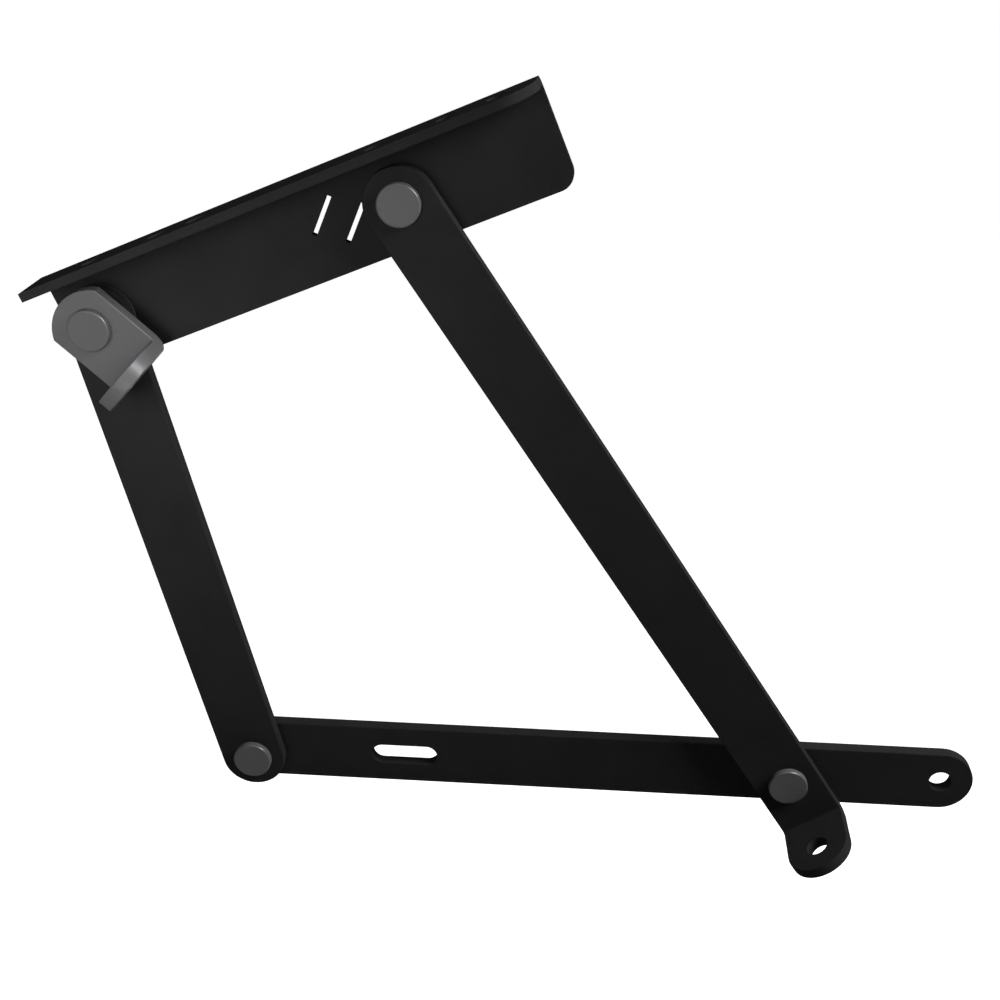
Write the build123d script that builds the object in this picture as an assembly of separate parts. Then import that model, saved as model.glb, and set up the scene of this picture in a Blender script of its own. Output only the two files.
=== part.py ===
from build123d import *
import math
import os

# Spring lift mechanism: a four-bar linkage of flat steel bars between a base bar, which is fixed to
# the side of a box or bench, and a mounting angle, which is screwed under its lid.
# Frame: millimetres, +Z up, +X along the base bar, +Y away from the side that carries the links.
# The origin is the centre of the base bar's end fixing hole, on the bar's rear face.

# Flat bar and sheet stock
bar_width = 20.0
bar_thickness = 4.0
link_thickness = 3.5
sheet_thickness = 2.5
bend_radius = 1.0
edge_round = 0.35

# Base bar
base_pitch = 170.0
base_fixing_offset = 47.8
fixing_hole_diameter = 7.0
slot_from_short_pivot = 48.3
slot_centres = 14.2

# Links, and the angle of the long link to the base bar in the pose shown
short_link_centres = 148.5
long_link_centres = 214.5
long_link_angle = 123.1

# Bent tail of the long link, below its base pivot
tail_from_pivot = 16.2
tail_hole_reach = 12.2
tail_hole_diameter = 7.0

# Mounting angle; its screw holes are set out from its two ends and from the flange's free edge
angle_length = 150.0
web_height = 30.0
flange_width = 20.0
web_corner_radius = 5.0
flange_corner_radius = 10.0
web_pivot_centres = 93.2
web_end_wall = 3.9
link_to_flange = 4.2
screw_hole_diameter = 5.5
screw_hole_from_edge = 7.0
screw_holes_from_left = (20.0, 40.5, 52.5)
screw_holes_from_right = (10.7, 24.8, 44.7)

# Two slits across the web beside the long link's pivot
slit_width = 1.4
slit_length = 11.8
slit_tilt = 45.0
slit_offset = 9.4
slit_pitch = 9.15
slit_start = -17.0
slit_stagger = 1.9

# Swivelling spring anchor, and the angle of its axis to the base bar in the pose shown
anchor_angle = -42.5
anchor_top_reach = 10.6
anchor_top_flattening = 2.4
anchor_reach = 18.7
anchor_hole_reach = 8.0
anchor_hole_diameter = 7.0

# Pivot rivets and washers
shank_diameter = 8.0
rivet_head_diameter = 12.0
rivet_head_height = 2.0
head_edge_radius = 0.5
tail_spread = 1.5
low_tail_height = 0.5
washer_diameter = 16.0
washer_thickness = 1.8
back_washer_thickness = 0.8
wide_washer_cover = 2.5

# Clearances: around a shank, along a pivot, and around the shank of the pivot left open in the web
fit_clearance = 0.05
side_play = 0.1
open_pivot_clearance = 3.0

# How far a cut runs past the faces it goes through, and how close two lengths count as equal
cut_past = 1.0
same_length = 1e-4

# Sizes that follow from those above
half_width = bar_width / 2
shank_radius = shank_diameter / 2
pivot_hole_radius = shank_radius + fit_clearance
open_hole_radius = shank_radius + open_pivot_clearance
tail_radius = shank_radius + tail_spread
wide_washer_diameter = 2 * (open_hole_radius + wide_washer_cover)
anchor_top_radius = half_width + anchor_top_flattening

# Edges of the mounting angle from its short-link pivot, along and across the web
web_left = -open_hole_radius - web_end_wall
web_right = web_left + angle_length
flange_under = half_width + link_to_flange
flange_top = flange_under + sheet_thickness
web_low = flange_top - web_height

# Pivot places in X and Z, with the fixing hole at the origin
pivot_c = (-base_fixing_offset, 0.0)
pivot_b = (-base_fixing_offset - base_pitch, 0.0)
pivot_d = (
    pivot_c[0] + long_link_centres * math.cos(math.radians(long_link_angle)),
    pivot_c[1] + long_link_centres * math.sin(math.radians(long_link_angle)),
)
reach_bd = math.dist(pivot_b, pivot_d)
angle_bd = math.atan2(pivot_d[1] - pivot_b[1], pivot_d[0] - pivot_b[0])
corner_b = math.acos(
    (short_link_centres**2 + reach_bd**2 - web_pivot_centres**2) / (2 * short_link_centres * reach_bd)
)
short_link_angle = math.degrees(angle_bd + corner_b)
pivot_a = (
    pivot_b[0] + short_link_centres * math.cos(math.radians(short_link_angle)),
    pivot_b[1] + short_link_centres * math.sin(math.radians(short_link_angle)),
)
web_angle = math.degrees(math.atan2(pivot_d[1] - pivot_a[1], pivot_d[0] - pivot_a[0]))

# Planes along Y, from the rear of the base bar to the front
bar_rear = 0.0
bar_front = bar_rear - bar_thickness
web_front = bar_front
web_rear = web_front + sheet_thickness
flange_edge = web_rear - flange_width
link_rear = bar_front - washer_thickness - side_play
link_front = link_rear - link_thickness
link_head_seat = link_front - side_play
anchor_rear = link_front - washer_thickness - side_play
anchor_front = anchor_rear - bar_thickness
anchor_head_seat = anchor_front - side_play

# Rear faces of the washers behind the web: one sits on it, the one at the open pivot clears it
seated_back = web_rear + back_washer_thickness
clear_back = seated_back + side_play


def placed(shape, pivot, angle):
    """A piece drawn along +X from its pivot, turned to its angle and set at its pivot."""
    return Pos(pivot[0], 0, pivot[1]) * Rot(0, -angle, 0) * shape


def pin(radius, rear, front, x=0.0, z=0.0):
    """A cylinder along Y between two planes."""
    rod = Cylinder(radius, rear - front, align=(Align.CENTER, Align.CENTER, Align.MIN))
    return Pos(x, rear, z) * Rot(90, 0, 0) * rod


def plate(outline, rear, front):
    """An outline drawn in X and Z, carried along Y between two planes."""
    return Pos(0, rear, 0) * extrude(Plane.XZ * outline, rear - front)


def drilled(radius, rear, front, x=0.0, z=0.0):
    """The cut for a round hole along Y through a piece between two planes."""
    return pin(radius, rear + cut_past, front - cut_past, x, z)


def bar_outline(length):
    """A round-ended bar along +X from a centre at the origin."""
    return Pos(length / 2, 0) * SlotCenterToCenter(length, bar_width)


def bent_corner(face, place, radius):
    """A flat section with the corner at a place rounded into a bend."""
    corner = face.vertices().sort_by_distance((*place, 0))[0]
    return fillet(corner, radius)


def in_plane(edge, axis, place):
    """True where the whole edge lies in the plane across an axis."""
    box = edge.bounding_box()
    ends = (getattr(box.min, axis), getattr(box.max, axis))
    return all(abs(end - place) < same_length for end in ends)


def rounded_rims(shape, planes, bends=()):
    """The shape with the outlines of its flat faces rounded.

    planes are (axis, place) pairs of those faces, and bends are the radii of its bends. The lines
    where a bend starts run straight along Z and stay.
    """
    rims = []
    for edge in shape.edges():
        flat = any(in_plane(edge, axis, place) for axis, place in planes)
        round_edge = edge.geom_type == GeomType.CIRCLE
        bend = round_edge and any(abs(edge.radius - radius) < same_length for radius in bends)
        straight = edge.geom_type == GeomType.LINE
        bend_line = straight and abs((edge @ 1 - edge @ 0).Z) > same_length
        if (flat and not bend_line) or bend:
            rims.append(edge)
    return fillet(rims, edge_round)


def bent_strip(start, outer_x, rear, thickness, hole_reach):
    """A bar along X whose end turns forward into a round tongue about a hole.

    outer_x is the outer face of the tongue, and hole_reach is the hole's distance from the front face.
    """
    front = rear - thickness
    inner_x = outer_x - thickness
    hole_y = front - hole_reach
    tip = hole_y - half_width
    corners = (
        (start, rear),
        (outer_x, rear),
        (outer_x, tip),
        (inner_x, tip),
        (inner_x, front),
        (start, front),
    )
    profile = make_face(Polyline(*corners, close=True))
    profile = bent_corner(profile, (outer_x, rear), bend_radius + thickness)
    profile = bent_corner(profile, (inner_x, front), bend_radius)
    strip = Pos(0, 0, -half_width) * extrude(profile, bar_width)
    straight = Pos((rear + hole_y) / 2, 0) * Rectangle(rear - hole_y, bar_width)
    tongue = straight + Pos(hole_y, 0) * Circle(half_width)
    return strip & Pos(start, 0, 0) * extrude(Plane.YZ * tongue, outer_x - start)


def tongue_hole(diameter, outer_x, hole_y, thickness):
    """The cut for the hole through the turned end of a bent strip, along X."""
    rod = Cylinder(diameter / 2, thickness + 2 * cut_past)
    return Pos(outer_x - thickness / 2, hole_y, 0) * Rot(0, 90, 0) * rod


def flush_tail(clearance=0.0):
    """The cone of a rivet tail hammered flush into the rear of the base bar."""
    wide = tail_radius + clearance
    narrow = shank_radius + clearance
    cone = Cone(wide, narrow, tail_spread, align=(Align.CENTER, Align.CENTER, Align.MIN))
    return Pos(0, bar_rear, 0) * Rot(90, 0, 0) * cone


def base_bar():
    """Flat bar with a fixing hole and a fixing slot; its two rivet tails are countersunk behind."""
    length = base_fixing_offset + base_pitch
    outline = Pos(-length, 0) * bar_outline(length)
    bar = rounded_rims(plate(outline, bar_rear, bar_front), (("Y", bar_rear), ("Y", bar_front)))
    bar -= drilled(fixing_hole_diameter / 2, bar_rear, bar_front)
    slot_x = pivot_b[0] + slot_from_short_pivot
    slot = Pos(slot_x, 0) * SlotCenterToCenter(slot_centres, fixing_hole_diameter)
    bar -= plate(slot, bar_rear + cut_past, bar_front - cut_past)
    for pivot in (pivot_b, pivot_c):
        bar -= drilled(pivot_hole_radius, bar_rear, bar_front, *pivot)
        bar -= Pos(pivot[0], 0, pivot[1]) * flush_tail(fit_clearance)
    return bar


def short_link():
    """Flat bar with a pivot hole in each round end."""
    planes = (("Y", link_rear), ("Y", link_front))
    link = rounded_rims(plate(bar_outline(short_link_centres), link_rear, link_front), planes)
    for x in (0, short_link_centres):
        link -= drilled(pivot_hole_radius, link_rear, link_front, x)
    return placed(link, pivot_b, short_link_angle)


def long_link():
    """Flat bar with two pivot holes, whose lower end turns forward into the spring's tail."""
    outer_x = tail_from_pivot + link_thickness
    hole_y = link_front - tail_hole_reach
    start = -long_link_centres - half_width
    link = bent_strip(start, outer_x, link_rear, link_thickness, tail_hole_reach)
    round_end = Pos(-long_link_centres, 0) * bar_outline(long_link_centres + outer_x + bar_width)
    link &= plate(round_end, link_rear, hole_y - bar_width)
    planes = (("Y", link_rear), ("Y", link_front), ("X", outer_x), ("X", tail_from_pivot))
    link = rounded_rims(link, planes, (bend_radius, bend_radius + link_thickness))
    for x in (0, -long_link_centres):
        link -= drilled(pivot_hole_radius, link_rear, link_front, x)
    link -= tongue_hole(tail_hole_diameter, outer_x, hole_y, link_thickness)
    return placed(link, pivot_c, long_link_angle + 180)


def slits():
    """The cuts for two parallel slits through the web, set out from the long link's pivot."""
    cuts = []
    for number in (0, 1):
        middle = slit_start - number * slit_stagger + slit_length / 2
        offset = slit_offset + number * slit_pitch
        outline = Rot(0, 0, slit_tilt) * Pos(middle, offset) * Rectangle(slit_length, slit_width)
        outline = Pos(web_pivot_centres, 0) * outline
        cuts.append(plate(outline, web_rear + cut_past, web_front - cut_past))
    return cuts


def screw_holes():
    """The cuts for the screw holes through the flange."""
    places = [web_left + place for place in screw_holes_from_left]
    places += [web_right - place for place in screw_holes_from_right]
    middle = flange_top - sheet_thickness / 2
    drill = Cylinder(screw_hole_diameter / 2, sheet_thickness + 2 * cut_past)
    return [Pos(x, flange_edge + screw_hole_from_edge, middle) * drill for x in places]


def mounting_angle():
    """Sheet angle: a web that carries the two upper pivots and a flange that screws under the lid."""
    corners = (
        (web_rear, web_low),
        (web_rear, flange_top),
        (flange_edge, flange_top),
        (flange_edge, flange_under),
        (web_front, flange_under),
        (web_front, web_low),
    )
    section = make_face(Polyline(*corners, close=True))
    section = bent_corner(section, (web_rear, flange_top), bend_radius + sheet_thickness)
    section = bent_corner(section, (web_front, flange_under), bend_radius)
    angle = Pos(web_left, 0, 0) * extrude(Plane.YZ * section, angle_length)
    foot = angle.edges().filter_by(Axis.Y).sort_by_distance((web_right, web_rear, web_low))[0]
    angle = fillet(foot, web_corner_radius)
    corner = angle.edges().filter_by(Axis.Z).sort_by_distance((web_right, flange_edge, flange_top))[0]
    angle = fillet(corner, flange_corner_radius)
    angle -= drilled(open_hole_radius, web_rear, web_front)
    angle -= drilled(pivot_hole_radius, web_rear, web_front, web_pivot_centres)
    for cut in slits() + screw_holes():
        angle -= cut
    return placed(angle, pivot_a, web_angle)


def spring_anchor():
    """Bar end that swivels on the upper short-link pivot; its turned tab takes the spring's hook."""
    start = -anchor_top_reach
    inner_x = anchor_reach - bar_thickness
    hole_y = anchor_front - anchor_hole_reach
    bracket = bent_strip(start, anchor_reach, anchor_rear, bar_thickness, anchor_hole_reach)
    crown = Pos(start + anchor_top_radius, 0) * Circle(anchor_top_radius)
    below = Pos(start + anchor_top_radius + bar_width, 0) * Rectangle(2 * bar_width, 2 * bar_width)
    bracket &= plate(crown + below, anchor_rear, hole_y - bar_width)
    planes = (("Y", anchor_rear), ("Y", anchor_front), ("X", anchor_reach), ("X", inner_x))
    bracket = rounded_rims(bracket, planes, (bend_radius, bend_radius + bar_thickness))
    bracket -= drilled(pivot_hole_radius, anchor_rear, anchor_front)
    bracket -= tongue_hole(anchor_hole_diameter, anchor_reach, hole_y, bar_thickness)
    return placed(bracket, pivot_a, anchor_angle)


def low_tail(seat):
    """A low hammered tail behind a washer."""
    return pin(tail_radius, seat + low_tail_height, seat)


def rivet(head_seat, rear, pivot, tail):
    """A pivot rivet: head, shank and hammered tail."""
    head = pin(rivet_head_diameter / 2, head_seat, head_seat - rivet_head_height)
    rim = head.edges().sort_by(Axis.Y)[0]
    head = fillet(rim, head_edge_radius)
    body = head + pin(shank_radius, rear, head_seat) + tail
    return Pos(pivot[0], 0, pivot[1]) * body


def washer(diameter, rear, front, pivot):
    """A flat washer on a rivet's shank."""
    ring = pin(diameter / 2, rear, front) - drilled(pivot_hole_radius, rear, front)
    return Pos(pivot[0], 0, pivot[1]) * ring


nodes = {
    "base_bar": base_bar(),
    "short_link": short_link(),
    "long_link": long_link(),
    "mounting_angle": mounting_angle(),
    "spring_anchor": spring_anchor(),
    "base_short_rivet": rivet(link_head_seat, bar_rear, pivot_b, flush_tail()),
    "base_long_rivet": rivet(link_head_seat, bar_rear, pivot_c, flush_tail()),
    "angle_short_rivet": rivet(anchor_head_seat, clear_back, pivot_a, low_tail(clear_back)),
    "angle_long_rivet": rivet(link_head_seat, seated_back, pivot_d, low_tail(seated_back)),
    "base_short_washer": washer(washer_diameter, bar_front, bar_front - washer_thickness, pivot_b),
    "base_long_washer": washer(washer_diameter, bar_front, bar_front - washer_thickness, pivot_c),
    "angle_short_washer": washer(wide_washer_diameter, link_rear + washer_thickness, link_rear, pivot_a),
    "angle_long_washer": washer(washer_diameter, web_front, web_front - washer_thickness, pivot_d),
    "anchor_washer": washer(washer_diameter, link_front, link_front - washer_thickness, pivot_a),
    "angle_short_back_washer": washer(wide_washer_diameter, clear_back, web_rear + side_play, pivot_a),
    "angle_long_back_washer": washer(washer_diameter, seated_back, web_rear, pivot_d),
}

os.makedirs("parts", exist_ok=True)
for name, shape in nodes.items():
    export_step(shape, f"parts/{name}.step")
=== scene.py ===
"""Finishes, floor, light and camera for the spring lift mechanism."""

import math

import bpy
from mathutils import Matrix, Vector


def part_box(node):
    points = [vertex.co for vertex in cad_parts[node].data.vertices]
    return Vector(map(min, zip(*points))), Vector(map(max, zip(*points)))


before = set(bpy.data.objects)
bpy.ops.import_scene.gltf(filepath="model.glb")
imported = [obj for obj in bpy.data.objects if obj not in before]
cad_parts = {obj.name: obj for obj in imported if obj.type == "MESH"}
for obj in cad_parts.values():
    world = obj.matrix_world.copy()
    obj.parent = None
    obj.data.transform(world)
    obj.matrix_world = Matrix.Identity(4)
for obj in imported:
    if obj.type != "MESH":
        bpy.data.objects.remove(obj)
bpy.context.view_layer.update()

# One millimetre in the scene's metres; the sizes and places below are in millimetres
MM = 0.001

# Pieces by finish
COATED_PIECES = ("base_bar", "short_link", "long_link", "mounting_angle")
STRIP_PIECES = ("spring_anchor",)
ROUND_PIECES = (
    "base_short_rivet",
    "base_long_rivet",
    "angle_short_rivet",
    "angle_long_rivet",
    "angle_short_back_washer",
    "angle_long_back_washer",
)
NYLON_PIECES = (
    "base_short_washer",
    "base_long_washer",
    "angle_short_washer",
    "angle_long_washer",
    "anchor_washer",
)

# Powder coat: how far apart its film's thick places are, and the width and depth of its orange peel
COAT_DRIFT = 14.0
PEEL_WIDTH = 1.3
PEEL_DEPTH = 0.03

# Rolled strip: how far it slopes down to the right in degrees, and its grain's width, length over
# width and depth. The real lines are a tenth as wide, too fine to show
STRIP_SLOPE = 42.5
GRAIN_WIDTH = 0.6
GRAIN_STRETCH = 20.0
GRAIN_DEPTH = 0.01

# Phosphate: the width of its crystals, and how much of the steel's gleam shows between them, on the
# strip and on the pressed and turned pieces. Real crystals are about 0.02 mm wide, too fine to show
CRYSTAL_WIDTH = 0.5
STRIP_GLEAM = 0.04
ROUND_GLEAM = 0.1

# Pressed and turned pieces: how far apart the tool's rings are, how much they wander, and their
# depth. Real rings are about 0.1 mm apart, too fine to show
RING_SPACING = 0.8
RING_WANDER = 0.8
RING_DEPTH = 0.01

# Moulded nylon: the width and depth of its grit. Real grit is about 0.05 mm wide, too fine to show
GRIT_WIDTH = 0.4
GRIT_DEPTH = 0.01

# Camera: its place, its turn and its downward tilt in degrees, its lens, its frame's width, and the
# nearest that it sees
CAMERA_PLACE = (-107.2, -372.6, 263.05)
CAMERA_TURN = 4.8598
CAMERA_TILT = 24.8247
LENS = 50.0
SENSOR_WIDTH = 36.0
NEAREST_SEEN = 10.0

# Floor: its height, half its side, its paint, and the share of white that it shows by itself
FLOOR_HEIGHT = -420.0
FLOOR_HALF = 12000.0
FLOOR_PAINT = "f2f2f2"
FLOOR_GLOW = 0.95

# Strength of the surround as light on the object; it shows as white
SURROUND_LIGHT = 0.06
WHITE = "ffffff"

# Sockets of the colour Mix node, whose names repeat
MIX_FACTOR, MIX_A, MIX_B, MIX_COLOUR = 0, 6, 7, 2


def linear(hex_colour):
    """A linear colour from an sRGB hex value."""
    channels = []
    for start in (0, 2, 4):
        value = int(hex_colour[start:start + 2], 16) / 255
        channels.append(value / 12.92 if value <= 0.04045 else ((value + 0.055) / 1.055) ** 2.4)
    return (*channels, 1.0)


def add(tree, kind, inputs=None, links=None, **settings):
    """A new node with its settings, its constant inputs and its links from (node, output) pairs."""
    node = tree.nodes.new(kind)
    for name, value in settings.items():
        setattr(node, name, value)
    for name, value in (inputs or {}).items():
        node.inputs[name].default_value = value
    for name, (source, output) in (links or {}).items():
        tree.links.new(source.outputs[output], node.inputs[name])
    return node


def empty_material(name):
    """A material with an empty node tree."""
    material = bpy.data.materials.new(name)
    material.use_nodes = True
    material.node_tree.nodes.clear()
    return material, material.node_tree


def surface(tree, tint, colours, polish, roughness, relief, strength, depth, constants):
    """Ends a finish's tree in its shader.

    tint, polish and relief are the (node, output) patterns that run between the two colours, run
    between the two roughnesses and raise the surface. constants go on the shader's own sockets.
    """
    colour = add(
        tree,
        "ShaderNodeMix",
        data_type="RGBA",
        inputs={MIX_A: linear(colours[0]), MIX_B: linear(colours[1])},
        links={MIX_FACTOR: tint},
    )
    rough = add(
        tree,
        "ShaderNodeMapRange",
        inputs={"To Min": roughness[0], "To Max": roughness[1]},
        links={"Value": polish},
    )
    bump = add(
        tree,
        "ShaderNodeBump",
        inputs={"Strength": strength, "Distance": depth * MM},
        links={"Height": relief},
    )
    shader = add(
        tree,
        "ShaderNodeBsdfPrincipled",
        inputs=constants,
        links={
            "Base Color": (colour, MIX_COLOUR),
            "Roughness": (rough, "Result"),
            "Normal": (bump, "Normal"),
        },
    )
    add(tree, "ShaderNodeOutputMaterial", links={"Surface": (shader, "BSDF")})


def powder_coated_steel():
    """Black polyester powder coat, sprayed and baked on steel.

    To the eye it is an even matt charcoal that mirrors nothing, with a faint orange peel where light
    grazes it.
    """
    material, tree = empty_material("black_powder_coated_steel")
    place = (add(tree, "ShaderNodeTexCoord"), "Object")
    drift = add(
        tree,
        "ShaderNodeTexNoise",
        inputs={"Scale": 1 / (COAT_DRIFT * MM), "Detail": 3.0},
        links={"Vector": place},
    )
    peel = add(
        tree,
        "ShaderNodeTexNoise",
        inputs={"Scale": 1 / (PEEL_WIDTH * MM), "Detail": 1.0},
        links={"Vector": place},
    )
    surface(
        tree,
        tint=(drift, "Fac"),
        colours=("1f1f1f", "262626"),
        polish=(drift, "Fac"),
        roughness=(0.78, 0.9),
        relief=(peel, "Fac"),
        strength=0.5,
        depth=PEEL_DEPTH,
        constants={"Specular IOR Level": 0.0},
    )
    return material


def phosphated_strip():
    """Zinc-phosphated steel strip, rolled and then bent.

    To the eye it is a dull dark grey, finely speckled by the crystals, with a grain along the strip
    and a little of the steel's gleam.
    """
    material, tree = empty_material("zinc_phosphated_strip")
    place = (add(tree, "ShaderNodeTexCoord"), "Object")
    lengthwise = add(
        tree,
        "ShaderNodeMapping",
        vector_type="TEXTURE",
        inputs={"Rotation": (0, math.radians(STRIP_SLOPE), 0), "Scale": (GRAIN_STRETCH, 1, 1)},
        links={"Vector": place},
    )
    grain = add(
        tree,
        "ShaderNodeTexNoise",
        inputs={"Scale": 1 / (GRAIN_WIDTH * MM), "Detail": 2.0},
        links={"Vector": (lengthwise, "Vector")},
    )
    crystals = add(
        tree,
        "ShaderNodeTexNoise",
        inputs={"Scale": 1 / (CRYSTAL_WIDTH * MM), "Detail": 2.0},
        links={"Vector": place},
    )
    surface(
        tree,
        tint=(crystals, "Fac"),
        colours=("4d4d4e", "565657"),
        polish=(grain, "Fac"),
        roughness=(0.28, 0.36),
        relief=(grain, "Fac"),
        strength=0.2,
        depth=GRAIN_DEPTH,
        constants={"Metallic": STRIP_GLEAM, "Specular IOR Level": 0.0},
    )
    return material


def phosphated_round(node):
    """Zinc-phosphated steel, pressed and turned, for a rivet or washer.

    To the eye it is the same dull dark grey, with faint rings about its own axis.
    """
    material, tree = empty_material(f"zinc_phosphated_{node}")
    low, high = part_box(node)
    place = (add(tree, "ShaderNodeTexCoord"), "Object")
    centred = add(
        tree,
        "ShaderNodeMapping",
        inputs={"Location": (-(low.x + high.x) / 2, 0, -(low.z + high.z) / 2)},
        links={"Vector": place},
    )
    # At a scale of 1 the wave node draws one ring every pi / 10 units
    ring_scale = math.pi / 10 / (RING_SPACING * MM)
    rings = add(
        tree,
        "ShaderNodeTexWave",
        wave_type="RINGS",
        rings_direction="Y",
        inputs={"Scale": ring_scale, "Distortion": RING_WANDER, "Detail": 1.0},
        links={"Vector": (centred, "Vector")},
    )
    crystals = add(
        tree,
        "ShaderNodeTexNoise",
        inputs={"Scale": 1 / (CRYSTAL_WIDTH * MM), "Detail": 2.0},
        links={"Vector": place},
    )
    surface(
        tree,
        tint=(crystals, "Fac"),
        colours=("49494a", "525253"),
        polish=(crystals, "Fac"),
        roughness=(0.26, 0.34),
        relief=(rings, "Fac"),
        strength=0.3,
        depth=RING_DEPTH,
        constants={"Metallic": ROUND_GLEAM, "Specular IOR Level": 0.0},
    )
    return material


def moulded_nylon():
    """Black nylon, moulded in a spark-eroded tool.

    To the eye it is a soft matt black with a fine even grit.
    """
    material, tree = empty_material("black_moulded_nylon")
    grit = add(
        tree,
        "ShaderNodeTexNoise",
        inputs={"Scale": 1 / (GRIT_WIDTH * MM), "Detail": 1.0},
        links={"Vector": (add(tree, "ShaderNodeTexCoord"), "Object")},
    )
    surface(
        tree,
        tint=(grit, "Fac"),
        colours=("161616", "1c1c1c"),
        polish=(grit, "Fac"),
        roughness=(0.62, 0.74),
        relief=(grit, "Fac"),
        strength=0.5,
        depth=GRIT_DEPTH,
        constants={"Specular IOR Level": 0.1},
    )
    return material


def finish_pieces():
    """Gives every piece its finish."""
    coat = powder_coated_steel()
    strip = phosphated_strip()
    nylon = moulded_nylon()
    finishes = {node: coat for node in COATED_PIECES}
    finishes.update({node: strip for node in STRIP_PIECES})
    finishes.update({node: phosphated_round(node) for node in ROUND_PIECES})
    finishes.update({node: nylon for node in NYLON_PIECES})
    for node, material in finishes.items():
        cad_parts[node].material_slots[0].material = material


def seen_rays(tree):
    """1 for the rays that show the background, straight, in a reflection or through glass."""
    path = add(tree, "ShaderNodeLightPath")
    mirrored = add(
        tree,
        "ShaderNodeMath",
        operation="MAXIMUM",
        links={0: (path, "Is Camera Ray"), 1: (path, "Is Glossy Ray")},
    )
    seen = add(
        tree,
        "ShaderNodeMath",
        operation="MAXIMUM",
        links={0: (mirrored, "Value"), 1: (path, "Is Transmission Ray")},
    )
    return (seen, "Value")


def white_surround():
    """A surround that shows white and gives a little even light."""
    world = bpy.data.worlds.new("white_surround")
    bpy.context.scene.world = world
    world.use_nodes = True
    tree = world.node_tree
    tree.nodes.clear()
    white = linear(WHITE)
    light = add(tree, "ShaderNodeBackground", inputs={"Color": white, "Strength": SURROUND_LIGHT})
    shown = add(tree, "ShaderNodeBackground", inputs={"Color": white, "Strength": 1.0})
    either = add(
        tree,
        "ShaderNodeMixShader",
        links={0: seen_rays(tree), 1: (light, "Background"), 2: (shown, "Background")},
    )
    add(tree, "ShaderNodeOutputWorld", links={"Surface": (either, "Shader")})


def pale_floor_paint():
    """Pale floor paint, rolled on flat, which shows white and keeps the object's shadow."""
    material, tree = empty_material("pale_floor_paint")
    paint = add(tree, "ShaderNodeBsdfDiffuse", inputs={"Color": linear(FLOOR_PAINT)})
    strength = add(
        tree,
        "ShaderNodeMath",
        operation="MULTIPLY",
        inputs={1: FLOOR_GLOW},
        links={0: seen_rays(tree)},
    )
    glow = add(
        tree,
        "ShaderNodeEmission",
        inputs={"Color": linear(WHITE)},
        links={"Strength": (strength, "Value")},
    )
    both = add(tree, "ShaderNodeAddShader", links={0: (paint, "BSDF"), 1: (glow, "Emission")})
    add(tree, "ShaderNodeOutputMaterial", links={"Surface": (both, "Shader")})
    return material


def pale_floor():
    """A wide level floor below the object."""
    half = FLOOR_HALF * MM
    height = FLOOR_HEIGHT * MM
    sides = ((-half, -half), (half, -half), (half, half), (-half, half))
    mesh = bpy.data.meshes.new("floor")
    mesh.from_pydata([(x, y, height) for x, y in sides], [], [range(len(sides))])
    mesh.materials.append(pale_floor_paint())
    floor = bpy.data.objects.new("floor", mesh)
    bpy.context.scene.collection.objects.link(floor)


def lamp(name, place, target, size, spread, watts, reflected_only=False):
    """A soft square lamp at a place, turned to a target, with its beam's spread in degrees.

    A lamp that is reflected only shows as gleams, and lights no matt surface.
    """
    data = bpy.data.lights.new(name, "AREA")
    data.size = size * MM
    data.spread = math.radians(spread)
    data.energy = watts
    lamp_object = bpy.data.objects.new(name, data)
    bpy.context.scene.collection.objects.link(lamp_object)
    eye = Vector(place) * MM
    lamp_object.location = eye
    lamp_object.rotation_euler = (Vector(target) * MM - eye).to_track_quat("-Z", "Y").to_euler()
    lamp_object.visible_diffuse = not reflected_only


def set_camera():
    """The camera at the pictured angle."""
    data = bpy.data.cameras.new("camera")
    data.lens = LENS
    data.sensor_width = SENSOR_WIDTH
    data.clip_start = NEAREST_SEEN * MM
    camera = bpy.data.objects.new("camera", data)
    bpy.context.scene.collection.objects.link(camera)
    camera.location = Vector(CAMERA_PLACE) * MM
    camera.rotation_euler = (math.radians(90 - CAMERA_TILT), 0, math.radians(CAMERA_TURN))
    bpy.context.scene.camera = camera


finish_pieces()
white_surround()
pale_floor()
# A wide lamp at the upper right lights the top and right edges, and skims the front faces
lamp("right_lamp", place=(331, -126, 522), target=(-150, 0, 100), size=300, spread=180, watts=7.6)
# A gridded lamp in front of the anchor lights the front faces, most of all at the upper left
lamp("left_lamp", place=(-290, -320, 205), target=(-275, 0, 168), size=200, spread=57, watts=0.195)
# A low wide lamp behind lights the rear faces, which the other two do not reach
lamp("rear_lamp", place=(-120, 620, 110), target=(-120, 0, 100), size=300, spread=180, watts=3.0)
# A lamp near the right one shows only as the gleams on the rivets' rims and the anchor's round edge
lamp(
    "gleam_lamp",
    place=(250, -230, 500),
    target=(-150, 0, 100),
    size=250,
    spread=180,
    watts=38.0,
    reflected_only=True,
)
set_camera()
bpy.context.scene.view_settings.view_transform = "Standard"
